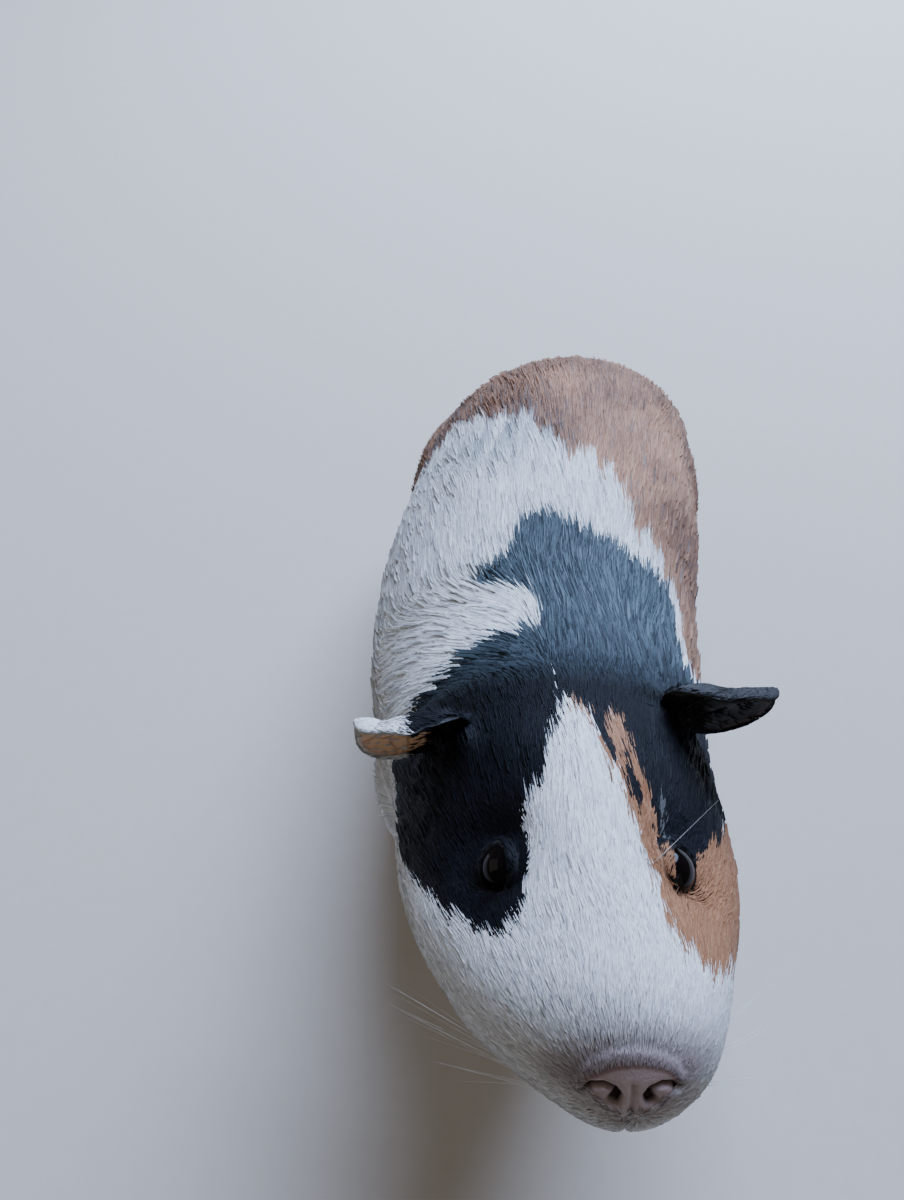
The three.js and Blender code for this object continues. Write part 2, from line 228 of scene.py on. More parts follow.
# Lids: the skin hugs the eyeball up to the slit and turns in behind it. Lengths are in mm, and a
# slant is 1 at the rim of the slit and grows away from the pupil.
LID_LIFT = 0.35  # margin of the lids off the ball
LID_TURN = 1.6  # how far the skin turns in behind the slit
LID_GAP = 0.25  # least room between ball and skin
LID_REACH = 5
LID_END = 1.9  # slant
FOLD = (1.4, 0.09, 0.15)  # slant, width and depth of the fold round the lids
FAR = 9.0  # slant of all that is no lid
SLIT = (4.1, 3.0)  # half its length and half its height
GAZE = {"left": (0.70, -0.22, 0.68), "right": (-0.70, -0.22, 0.68)}
SLIT_LINE = {"left": (0.3, -0.95, -0.1), "right": (-0.1, -0.99, -0.1)}
lid_share = np.full(count, FAR)
for side, centre in EYES.items():
    centre_mm = np.array(centre) / MM
    radius = EYE_RADIUS / MM
    away = points - centre_mm
    reach = np.linalg.norm(away, axis=1)
    ray = away / reach[:, None]
    look = np.array(GAZE[side]) / np.linalg.norm(GAZE[side])
    along = np.array(SLIT_LINE[side]) - look * (look @ SLIT_LINE[side])
    along /= np.linalg.norm(along)
    across = np.cross(look, along)
    slant = radius * np.hypot((ray @ along) / SLIT[0], (ray @ across) / SLIT[1])
    slant = np.where(ray @ look > 0, slant, FAR)
    near = (slant < LID_END) & (reach < radius + LID_REACH)
    behind = radius - LID_TURN
    margin = radius + LID_LIFT
    outer = np.maximum(reach, radius + LID_GAP)
    goal = behind + (margin - behind) * smoothstep(slant, 0.9, 1.0)
    goal += (outer - goal) * smoothstep(slant, 1.12, 1.6)
    goal -= FOLD[2] * np.exp(-(((slant - FOLD[0]) / FOLD[1]) ** 2))
    points[near] = centre_mm + ray[near] * goal[near, None]
    lid_share = np.minimum(lid_share, np.where(near, slant, FAR))

# Nostrils, the groove under the nose and the mouth are pressed in along lines, drawn on the face
# of the muzzle: mm to the left of the pad's middle, and mm up its slope.
NOSE_MM = np.array(NOSE) / MM
PAD_UP = np.array([0, 0.62, 0.785])
PAD_OUT = np.array([0, -0.785, 0.62])
MUZZLE_END = 14
TURNS = np.radians([-30, 5, 45, 85, 125, 165])
NOSTRIL = [(4.5 - 2.6 * math.cos(turn), 2.1 * math.sin(turn) - 1.6) for turn in TURNS]
PRESSED = [
    # line, width, depth
    (NOSTRIL, 0.5, 1.0),
    ([(-across, up) for across, up in NOSTRIL], 0.5, 1.0),
    ([(3.1, -2.2), (2.7, -1.4)], 0.75, 1.1),
    ([(-3.1, -2.2), (-2.7, -1.4)], 0.75, 1.1),
    ([(0, 0.5), (0, -4), (0, -13)], 0.45, 0.55),
    ([(-7.5, -18), (-3.5, -14.5), (0, -13), (3.5, -14.5), (7.5, -18)], 0.7, 1.3),
]


def distance_to(line, spots):
    """Distance of flat spots from a line of straight runs."""
    best = np.full(len(spots), 1e9)
    line = np.array(line, float)
    for start, end in zip(line[:-1], line[1:]):
        run = end - start
        share = np.clip((spots - start) @ run / (run @ run), 0, 1)
        best = np.minimum(best, np.linalg.norm(spots - start - share[:, None] * run, axis=1))
    return best


hide_mesh.vertices.foreach_set("co", (points * MM).ravel().astype(np.float32))
normals = normals_of(hide_mesh)
off_nose = points - NOSE_MM
flat = np.stack([off_nose[:, 0], off_nose @ PAD_UP], 1)
front = (back < MUZZLE_END) & (normals @ PAD_OUT > 0.1)
pressed = np.zeros(count)
for line, width, sink in PRESSED:
    pressed += np.where(front, sink * np.exp(-((distance_to(line, flat) / width) ** 2)), 0)
points -= normals * pressed[:, None]
hide_mesh.vertices.foreach_set("co", (points * MM).ravel().astype(np.float32))

# ------ ears
# An ear is a thin petal of cartilage and skin, hollow in front, with its upper edge hooded like an
# awning. It is a flattened ball, bent to shape, set into the head and joined to the hide.

EAR_BURIED = 4.0  # how far it runs on into the head
EAR_WALL = 0.42  # half its thickness
EAR_SPARE = 1.2  # the hair past its tip
EAR_FORWARD = 0.8  # how far the tip lies in front of the root
# Each ear's middle from that of its box, its rise from root to tip, the way its lower edge hangs,
# half its height and how that tapers, and how far its curl, hood, dip and lobe stand out, in mm.
EARS = {
    "left": {
        "middle": (0.6, 2.0, 2.3), "rise": 4.8, "hang": (0.2, 0.12, -1), "half": 11.8,
        "taper": 0.5, "curl": 2.0, "hood": 2.2, "dip": 0.0, "lobe": 3.5,
    },
    "right": {
        "middle": (0.0, 2.7, 0.6), "rise": 1.2, "hang": (-0.06, 0.05, -1), "half": 9.2,
        "taper": 0.1, "curl": 2.6, "hood": 3.2, "dip": 2.4, "lobe": 0.0,
    },
}
BLUNT = 5  # how square the tip is: 2 is round
RIDGES = [(0.25, 0.9), (-0.15, 0.7), (0.6, 0.5)]  # folds in the hollow: place across, height
RIDGE_WIDE = 0.11
RIM_FROM, RIM_WIDE = 0.8, 0.2  # the thicker rim, as shares of the way out
DENT = 1.4  # of the notch by the root of the upper edge
WAVE = 0.25  # of the lower and upper edges
ear_meshes = []
ear_marks = []


def face_key(face):
    low, next_low, *_ = sorted(vert.index for vert in face.verts)
    return low * 1e4 + next_low + sum(vert.index for vert in face.verts) * 1e-5


for side, shape in EARS.items():
    low, high = [np.array(corner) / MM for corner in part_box(f"ear_{side}")]
    out = 1 if side == "left" else -1
    middle_line = (low + high) / 2 + shape["middle"]
    run = np.array([out * (high[0] - low[0] - EAR_SPARE), -EAR_FORWARD, shape["rise"]])
    root = middle_line - run / 2
    down = np.array(shape["hang"]) / np.linalg.norm(shape["hang"])
    ahead = np.cross(run, down)
    ahead /= np.linalg.norm(ahead)
    if ahead[1] > 0:
        ahead = -ahead
    ear = bmesh.new()
    bmesh.ops.create_uvsphere(ear, u_segments=72, v_segments=36, radius=1)
    for vert in ear.verts:
        radius = min(1, math.hypot(vert.co.x, vert.co.y))
        power = 2 if vert.co.y < 0 else BLUNT
        square = (abs(vert.co.x) ** power + abs(vert.co.y) ** power) ** (1 / power)
        wider = radius / max(square, 1e-9)
        along, place, through = vert.co.y * wider, vert.co.x * wider, vert.co.z
        share = (along + 1) / 2
        rim = max(0, radius - RIM_FROM) / RIM_WIDE
        wall = EAR_WALL * (1 + 0.5 * rim * (1 - rim)) * math.copysign(abs(through) ** 0.5, through)
        forwards = shape["curl"] * place**2 + shape["hood"] * max(0, -place) ** 2.2
        forwards += shape["lobe"] * max(0, place) * (1 - share) ** 1.5
        for centre, height in RIDGES:
            ridge = math.exp(-(((place - centre) / RIDGE_WIDE) ** 2))
            forwards += height * ridge * (1 - share) ** 1.5
        forwards -= DENT * math.exp(-(((share - 0.25) / 0.16) ** 2) - ((place + 0.45) / 0.25) ** 2)
        forwards += WAVE * math.sin(9 * share + 2 * place) * abs(place) ** 3
        across = place * shape["half"] * (1 - shape["taper"] * share)
        across *= 1 + 0.02 * math.sin(11 * share)
        dip = shape["dip"] * math.exp(-(((share - 0.7) / 0.1) ** 2) - ((place + 0.45) / 0.3) ** 2)
        inward = EAR_BURIED * max(0, 0.25 - share) / 0.25
        spot = root + run * share + down * (across + dip) + ahead * (forwards + wall)
        spot[0] -= out * inward
        facing = math.copysign(1, through) if abs(through) > TINY else 0
        ear_marks.append((share, place, radius, facing))
        vert.co = spot * MM
    if ear.calc_volume(signed=True) < 0:
        bmesh.ops.reverse_faces(ear, faces=ear.faces)
    ear.verts.index_update()
    ear.faces.sort(key=face_key)  # the sphere's own order changes from run to run
    made = bpy.data.meshes.new(f"ear_{side}")
    ear.to_mesh(made)
    ear.free()
    ear_meshes.append(made)

whole = bmesh.new()
whole.from_mesh(hide_mesh)
skin_count = len(whole.verts)
ear_of = [0] * skin_count
for sign, mesh in ((1, ear_meshes[0]), (-1, ear_meshes[1])):
    whole.from_mesh(mesh)
    ear_of += [sign] * (len(whole.verts) - len(ear_of))
whole.to_mesh(hide_mesh)
whole.free()
ear_of = np.array(ear_of)
points = array_of(hide_mesh.vertices, "co", 3).astype(float) / MM
total = len(points)
normals = normals_of(hide_mesh)
back = points[:, 1] - nose_tip / MM


def extended(values, fill):
    more = np.full((total - skin_count,) + values.shape[1:], fill, float)
    return np.concatenate([values, more])


owners = extended(owners, 0)
marks = np.concatenate([np.zeros((skin_count, 4)), ear_marks])
ear_share, ear_place, ear_radius, ear_front = marks.T
depth = extended(depth, 0.5)
lid_share = extended(lid_share, FAR)
pressed = extended(pressed, 0)

# ------ markings
# Black, ginger and white lie in patches with ragged edges. Each patch is a closed line on a chart
# of the body: degrees round it from the crest, positive to the left, and mm behind the nose.

BODY_LINE = np.array([
    # mm behind the nose, across, level
    (-2.3, -0.8, 91), (4, -0.6, 92.3), (13, -4, 92), (26, -5.3, 86), (50, -5.6, 75),
    (75, -6.6, 59.5), (92, -6.9, 52), (114, -5.9, 48), (140, -1.9, 46), (168, 3.1, 44.5),
    (214, 11.1, 42.5),
])
DEGREE = 0.62  # mm round the body, about
BLACK_RIGHT = [
    (-40, 24.5), (-52, 25.5), (-64, 30), (-76, 38), (-85, 47), (-82, 58), (-74, 66), (-62, 73),
    (-52, 77), (-40, 80), (-30, 83.5), (-20, 87), (-10, 89.5), (-1, 90), (1, 80), (0, 69),
    (-3, 62), (-6, 56), (-12, 50), (-18, 45), (-21, 39), (-25, 32), (-31, 26.5),
]
BLACK_LEFT = [
    (-1, 69), (6, 65), (11, 58), (17, 51), (23, 46.5), (30, 44.5), (33, 43), (34.5, 40),
    (36, 36.8), (39.5, 34.2), (44.5, 32.8), (49.5, 34.5), (54.5, 39), (62, 42.5), (74, 48),
    (86, 57), (92, 67), (87, 78), (72, 86), (56, 89), (51, 93), (52, 100), (50, 108), (45, 113.5),
    (36, 117), (25, 119.5), (12, 124), (1, 127), (-6, 127.5), (-9.5, 124), (-12, 118.5),
    (-16.5, 113), (-24, 107), (-16, 104.5), (-9, 104), (-4.5, 98), (-2.5, 90), (-4, 80),
]
GINGER_BODY = [
    (56, 91), (57, 101), (53, 110), (47, 117), (40, 122.5), (32, 129), (24, 137), (18, 144),
    (8, 149), (0, 153), (-10, 158), (-20, 163), (-32, 168), (-45, 170), (-60, 168), (-76, 167),
    (-96, 171), (-122, 179), (-150, 186), (-185, 190), (-185, 235), (185, 235), (185, 190),
    (150, 172), (134, 148), (122, 122), (108, 101), (92, 91), (74, 86),
]
GINGER_CHEEK = [
    (0, 70), (6, 60), (12, 50.5), (17, 44.5), (24, 38), (29, 31), (36, 24.5), (46, 20.5),
    (60, 19.5), (77, 21), (90, 26), (97, 35), (98, 46), (92, 56), (82, 56), (72, 50), (62, 48),
    (50, 46), (40, 48), (28, 52), (18, 60), (9, 68),
]


def rounded(outline, steps=5):
    """A closed line eased through its points."""
    line = np.array(outline, float)
    before, after, beyond = (np.roll(line, shift, 0) for shift in (1, -1, -2))
    runs = []
    for share in np.arange(steps) / steps:
        square, cube = share**2, share**3
        runs.append(
            0.5 * (2 * line + (after - before) * share
                   + (2 * before - 5 * line + 4 * after - beyond) * square
                   + (3 * line - before - 3 * after + beyond) * cube)
        )
    return np.stack(runs, 1).reshape(-1, 2)


def depth_inside(outline, spots):
    """How far spots are inside a closed line, negative outside."""
    line = rounded(outline) * (DEGREE, 1)
    line = np.vstack([line, line[:1]])
    odd = np.zeros(len(spots), bool)
    for start, end in zip(line[:-1], line[1:]):
        if start[1] != end[1]:
            run = end - start
            crosses = (start[1] > spots[:, 1]) != (end[1] > spots[:, 1])
            where = start[0] + (spots[:, 1] - start[1]) * run[0] / run[1]
            odd ^= crosses & (spots[:, 0] < where)
    best = distance_to(line, spots)
    return np.where(odd, best, -best)


def ripple(spots, size, seed, waves=9):
    """Smooth chance from -1 to 1 over spots, in bumps of about a size."""
    rng = np.random.default_rng(seed)
    total = np.zeros(len(spots))
    for _ in range(waves):
        heading = rng.normal(size=spots.shape[1])
        heading *= rng.uniform(0.6, 1.5) * 2 * np.pi / size / np.linalg.norm(heading) / 2
        total += np.sin(spots @ heading + rng.uniform(0, 6.3))
    return total / waves**0.5


def chart_of(spots):
    """mm round the body and mm behind the nose, of points in mm."""
    behind = spots[:, 1] - nose_tip / MM
    across = spots[:, 0] - np.interp(behind, BODY_LINE[:, 0], BODY_LINE[:, 1])
    level = spots[:, 2] - np.interp(behind, BODY_LINE[:, 0], BODY_LINE[:, 2])
    return np.stack([np.degrees(np.arctan2(across, level)) * DEGREE, behind], 1)


# The edges run out in streaks, each patch's by its own mm.
STREAK_WIDE = 2.6
STREAK_STRETCH = (1, 0.22)
chart = chart_of(points)
streaks = ripple(chart * STREAK_STRETCH, STREAK_WIDE, 11)
inside = {
    "black": np.maximum(
        depth_inside(BLACK_RIGHT, chart) + 0.6 * streaks,
        depth_inside(BLACK_LEFT, chart) + 0.8 * streaks,
    ),
    "body": depth_inside(GINGER_BODY, chart) + 2.2 * streaks,
    "cheek": depth_inside(GINGER_CHEEK, chart) + 1.2 * streaks,
}
# Ginger streaks run into the black beside the blaze, with a dark one between them, and a wisp of
# pale hair stands in the black above the left eye.
BRINDLE_AT = (17, 54)
BRINDLE_WIDE = (13, 12)
brindle = np.exp(-(((chart / (DEGREE, 1) - BRINDLE_AT) / BRINDLE_WIDE) ** 2).sum(1))
inside["black"] -= brindle * np.maximum(0, 3.6 * ripple(chart * (1, 0.14), 2.0, 5) - 0.2)
STREAKS = [
    # line on the chart, half its width, how many mm it adds to the black, and to the ginger
    ([(7.6, 64.5), (8.8, 60.6), (11.6, 54.9), (15.2, 50.1), (20.8, 45.3)], 0.6, 2.4, 0),
    ([(14.8, 63), (16, 58.8), (20.8, 51.3), (25.6, 46.5), (29.2, 44.1)], 0.9, -7.0, 4),
]
for line, wide, more_black, more_ginger in STREAKS:
    along_line = np.exp(-((distance_to(np.array(line) * (DEGREE, 1), chart) / wide) ** 2))
    inside["black"] += more_black * along_line
    inside["cheek"] += more_ginger * along_line
WISP = [(31.5, 48.5), (36.4, 44.1), (39, 41.5)]
WISP_WIDE = 0.8
wisp = np.exp(-((distance_to(np.array(WISP) * (DEGREE, 1), chart) / WISP_WIDE) ** 2))
# Paws are pale, and the ears keep to one colour each.
pale = smoothstep(owners[:, PARTS.index("foot")] + 0.6 * owners[:, PARTS.index("leg")], 0.3, 0.6)
inside["body"] -= 30 * pale * (back < 120)
WELL_IN = 6
RIGHT_EAR_BLACK = 0.47  # share of the right ear, from its root, with black hair
RIGHT_EAR_LONG = 18
ear_black = np.where(ear_of > 0, WELL_IN, (RIGHT_EAR_BLACK - ear_share) * RIGHT_EAR_LONG)
inside["black"] = np.where(ear_of == 0, inside["black"], ear_black)
for patch_name in ("body", "cheek"):
    inside[patch_name] = np.where(ear_of == 0, inside[patch_name], -WELL_IN)
inside_ginger = np.maximum(inside["body"], inside["cheek"])
black = smoothstep(inside["black"], -0.4, 0.4)
ginger = smoothstep(inside_ginger, -0.6, 0.6)

# ------ bare skin
# The nose pad, lid margins, ear hollows, soles and nostrils have no coat. The pad is an oval that
# narrows downwards, and the hair round it is sparse, so that its colour shows through.

PAD_HALF = 7.4
PAD_TAPER = 0.075  # share of its width lost on each mm down
PAD_LOWER = 0.8  # its middle lies this far down from the middle of its box
PAD_TALL = 4.6
PAD_DEEP = 9
off_nose = points - NOSE_MM
pad_up = off_nose @ PAD_UP
pad_half = PAD_HALF * np.clip(1 + PAD_TAPER * np.minimum(pad_up - 0.5, 0), 0.2, 1)
pad_share = np.linalg.norm(np.stack([
    off_nose[:, 0] / pad_half,
    (pad_up + PAD_LOWER) / PAD_TALL,
    off_nose @ PAD_OUT / PAD_DEEP,
], 1), axis=1)
bare_nose = 1 - smoothstep(pad_share, 0.84, 0.98)
near_pad = (1 - smoothstep(pad_share, 0.95, 2.2)) * (0.6 + 0.4 * smoothstep(pad_up, -3, 1.5))
near_pad[ear_of != 0] = 0
bare_lid = 1 - smoothstep(lid_share, 1.07, 1.17)
lid_tone = 1 - smoothstep(lid_share, 1.22, 1.45)
HOLLOW_END = 0.93  # share of the way from the ear's middle to its rim
EAR_DOWN = 0.965  # a few hairs stand in the hollow
SOLE_TOP = 4
hollow = (ear_of != 0) & (ear_front > 0) & (ear_radius < HOLLOW_END)
bare_ear = np.where(hollow, EAR_DOWN * smoothstep(ear_share, 0.12, 0.26), 0)
bare_sole = smoothstep(-normals[:, 2], 0.3, 0.7) * (points[:, 2] < SOLE_TOP)
deep = smoothstep(pressed, 0.45, 1.1)
bare = np.clip(bare_nose + bare_lid + bare_ear + bare_sole + deep, 0, 1)


def colour(code):
    """An sRGB hex colour, made linear."""
    parts = [int(code[i:i + 2], 16) / 255 for i in (1, 3, 5)]
    return [p / 12.92 if p <= 0.04045 else ((p + 0.055) / 1.055) ** 2.4 for p in parts] + [1.0]


def wire(made, inputs):
    """Gives a node's sockets numbers, hex colours or other nodes' outputs."""
    for socket, value in dict(inputs).items():
        if isinstance(value, bpy.types.NodeSocket):
            made.id_data.links.new(value, made.inputs[socket])
        else:
            made.inputs[socket].default_value = colour(value) if isinstance(value, str) else value


def add_node(tree, kind, inputs=(), **settings):
    """Adds a node with its settings and inputs, and gives its outputs."""
    made = tree.nodes.new(kind)
    for name, value in settings.items():
        setattr(made, name, value)
    wire(made, inputs)
    return made.outputs


def new_material(name, **settings):
    """A material, the function that adds a node to it, its shader, and Object coordinates."""
    made = bpy.data.materials.new(name)
    made.use_nodes = True
    shader = made.node_tree.nodes["Principled BSDF"]
    wire(shader, {socket.replace("_", " "): value for socket, value in settings.items()})
    add = partial(add_node, made.node_tree)
    return made, add, shader, add("ShaderNodeTexCoord")["Object"]


MIX = {"kind": "ShaderNodeMix", "data_type": "RGBA"}  # in: 0 share, 6 and 7 colours; out: 2


def store(mesh, name, values):
    """Keeps four numbers at each point of a mesh."""
    made = mesh.attributes.new(name, "FLOAT_COLOR", "POINT")
    made.data.foreach_set("color", np.asarray(values, np.float32).ravel())


store(hide_mesh, "hide", np.stack([black, ginger, bare, bare_nose], 1))
# The second number of spots marks the pressed-in places, which the hide paints dark as painted
# shade in these recesses.
store(hide_mesh, "spots", np.stack([lid_tone, deep, near_pad, np.zeros(total)], 1))
ear_rim = smoothstep(ear_radius, 0.8, 1.0) * smoothstep(ear_share, 0.3, 0.6)
store(hide_mesh, "ear", np.stack([ear_share, ear_rim, ear_place * 0.5 + 0.5, ear_front > 0], 1))

# Hide: soft skin between the hairs, in the colour of the hair above it but a little darker, above
# all under white hair, as painted shade of the coat over it; matt, with creases about 1 mm apart
# and blotches of 6 mm. The nose is damp, pebbled every 0.5 mm, twice as coarse as real.
hide_skin, add, shader, place = new_material(
    "hide_skin", Roughness=0.62, IOR=1.4, Specular_IOR_Level=0.3, Sheen_Weight=0.05,
    Sheen_Roughness=0.5, Subsurface_Weight=0.06, Subsurface_Scale=0.0015,
)
masks = add("ShaderNodeAttribute", attribute_name="hide")
is_black, is_ginger, is_bare = add("ShaderNodeSeparateColor", {0: masks["Color"]})
is_nose = masks["Alpha"]
spots = add("ShaderNodeAttribute", attribute_name="spots")
is_lid, recess_shade, by_pad = add("ShaderNodeSeparateColor", {0: spots["Color"]})
creases = add("ShaderNodeTexNoise", {"Vector": place, "Scale": 900, "Detail": 4})["Fac"]
blotches = add("ShaderNodeTexNoise", {"Vector": place, "Scale": 160, "Detail": 3})["Fac"]
# The skin under the coat is painted darker than its hair: painted shade of the coat over it.
shaded_under_coat = add(inputs={0: is_ginger, 6: "#d8d4cd", 7: "#a77f62"}, **MIX)[2]
shaded_under_coat = add(inputs={0: is_black, 6: shaded_under_coat, 7: "#08090d"}, **MIX)[2]
shaded_under_coat = add(inputs={0: by_pad, 6: shaded_under_coat, 7: "#8f7c79"}, **MIX)[2]
pink = add(inputs={0: blotches, 6: "#b98a80", 7: "#8f6660"}, **MIX)[2]
nose_hue = add(inputs={0: blotches, 6: "#c2b0ad", 7: "#96817e"}, **MIX)[2]
naked = add(inputs={0: is_nose, 6: pink, 7: nose_hue}, **MIX)[2]
# Pressed-in nostrils, groove and mouth are painted dark brown: painted shade in the recesses.
naked = add(inputs={0: recess_shade, 6: naked, 7: "#24140f"}, **MIX)[2]
tone = add(inputs={0: is_bare, 6: shaded_under_coat, 7: naked}, **MIX)[2]
tone = add(inputs={0: is_lid, 6: tone, 7: "#0b0908"}, **MIX)[2]
damp = add("ShaderNodeMapRange", {"Value": is_nose, "To Min": 0.62, "To Max": 0.42})[0]
pebbles = add("ShaderNodeTexVoronoi", {"Vector": place, "Scale": 1900, "Randomness": 0.8})
relief = add("ShaderNodeMix", {0: is_nose, 2: creases, 3: pebbles["Distance"]})[0]
bump = add("ShaderNodeBump", {"Height": relief, "Strength": 0.22, "Distance": 0.0003})[0]
wire(shader, {"Base Color": tone, "Roughness": damp, "Normal": bump})

# Ear skin: thin, so that light from behind glows through it, golden with dark red veins on the
# right, slate on the left, and pinker along the rim of both. The veins' mesh is 4 mm wide.
ear_skin, add, shader, place = new_material(
    "ear_skin", Roughness=0.55, IOR=1.4, Subsurface_Weight=0.35, Subsurface_Scale=0.002,
    Subsurface_Radius=(1.0, 0.45, 0.25),
)
masks = add("ShaderNodeAttribute", attribute_name="ear")
on_rim = add("ShaderNodeSeparateColor", {0: masks["Color"]})["Green"]
grain = add("ShaderNodeTexNoise", {"Vector": place, "Scale": 1100, "Detail": 4})["Fac"]
cloud = add("ShaderNodeTexNoise", {"Vector": place, "Scale": 220, "Detail": 3})
bent_place = add("ShaderNodeVectorMath", {
    0: cloud["Color"], 1: (0.004, 0.004, 0.004), 2: place,
}, operation="MULTIPLY_ADD")[0]
mesh_of_veins = add("ShaderNodeTexVoronoi", {
    "Vector": bent_place, "Scale": 230,
}, feature="DISTANCE_TO_EDGE")
vein = add("ShaderNodeMapRange", {
    "Value": mesh_of_veins["Distance"], "From Min": 0.0, "From Max": 0.12,
    "To Min": 0.5, "To Max": 0.0,
})[0]
gold = add(inputs={0: cloud["Fac"], 6: "#efc99e", 7: "#d6a87e"}, **MIX)[2]
gold = add(inputs={0: vein, 6: gold, 7: "#7c3a2c"}, **MIX)[2]
dusk = add(inputs={0: cloud["Fac"], 6: "#15151b", 7: "#24232b"}, **MIX)[2]
leftwards = add("ShaderNodeSeparateXYZ", {0: place})["X"]
is_left = add("ShaderNodeMapRange", {
    "Value": leftwards, "From Min": -0.001, "From Max": 0.001,
})[0]
face_hue = add(inputs={0: is_left, 6: gold, 7: dusk}, **MIX)[2]
rim_hue = add(inputs={0: is_left, 6: "#c09a90", 7: "#6b575c"}, **MIX)[2]
rim_share = add("ShaderNodeMath", {0: on_rim, 1: 0.75}, operation="MULTIPLY")[0]
face_hue = add(inputs={0: rim_share, 6: face_hue, 7: rim_hue}, **MIX)[2]
cover = add("ShaderNodeAttribute", attribute_name="hide")
is_black, is_ginger, is_bare = add("ShaderNodeSeparateColor", {0: cover["Color"]})
# Where hair covers the ear, its skin is painted darker than white hair: painted shade of the coat
# over it.
furred_shaded = add(inputs={0: is_black, 6: "#c9c2ba", 7: "#0d0e12"}, **MIX)[2]
face_hue = add(inputs={0: is_bare, 6: furred_shaded, 7: face_hue}, **MIX)[2]
height = add("ShaderNodeMath", {0: grain, 1: vein}, operation="ADD")[0]
bump = add("ShaderNodeBump", {"Height": height, "Strength": 0.4, "Distance": 0.0003})[0]
wire(shader, {"Base Color": face_hue, "Normal": bump})

hide = new_object("hide", hide_mesh)
hide_mesh.materials.clear()
hide_mesh.materials.append(hide_skin)
hide_mesh.materials.append(ear_skin)
face_ears = array_of(hide_mesh.polygons, "loop_start", 1, np.int32)
first_corner = array_of(hide_mesh.loops, "vertex_index", 1, np.int32)[face_ears]
hide_mesh.polygons.foreach_set("material_index", (ear_of[first_corner] != 0).astype(np.int32))
hide_mesh.polygons.foreach_set("use_smooth", np.ones(len(hide_mesh.polygons), bool))
bpy.context.view_layer.objects.active = hide
hide.select_set(True)
bpy.ops.object.mode_set(mode="EDIT")
bpy.ops.mesh.select_all(action="SELECT")
bpy.ops.uv.smart_project(angle_limit=math.radians(66), island_margin=0.004)
bpy.ops.object.mode_set(mode="OBJECT")
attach(hide, "root")
flesh_nodes = [name for nodes in FLESH.values() for name in nodes if not name.startswith("eye")]
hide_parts("ear_left", "ear_right", *flesh_nodes)

# ------ coat
# Each tuft is a lock of hair with its root in the hide: a slender bent spindle of four triangles.
# Tufts lie back along the body, finest on the face and paws, and share the hide's markings.

# by part: length and width in mm, tufts on a square mm
TUFT = {
    "head": (6.5, 0.21, 9.2),
    "nose": (4.0, 0.2, 12.0),
    "neck": (10.0, 0.23, 6.9),
    "trunk": (9.5, 0.23, 6.1),
    "leg": (5.2, 0.25, 4.6),
    "foot": (2.2, 0.2, 6.5),
    "ear": (2.2, 0.15, 9.0),
}
LEGS_DOWN = (0, 0.2, -1.0)
FEET_FORWARD = (0, -1.0, -0.25)
THROAT_DOWN = (0, 0.3, -1.0)
EARS_OUT = (1, 0.25, -0.1)
SOURCE = (8, 2)  # the face's hair fans out from here: mm before and below the nose
PARTING = (4.5, 5, 0.25)  # round the eyes: mm from the eye's middle, width, least outward share
# Where the lie changes, in mm behind the nose.
FACE_TO_TRUNK = (52, 84)
FANNED = (120, 200)
RUMP_DOWN = (172, 210)
# The whorl on the right of the nape, where the hair is swept sideways: from and to, in degrees
# round the body and in mm behind the nose.
SWEPT_ROUND = ((-1, 10), (52, 82))
SWEPT_BACK = ((66, 80), (94, 112))
SWEPT_SHARE = 0.9
# Waviness of the lie: share, size in mm, seeds.
WAVES = [(0.12, 8, (21, 22, 23)), (0.05, 2.6, (24, 25, 26))]


def unit(vectors):
    return vectors / np.maximum(np.linalg.norm(vectors, axis=1, keepdims=True), 1e-9)


def mixed(first, second, share):
    return first + (np.asarray(second) - first) * share[:, None]


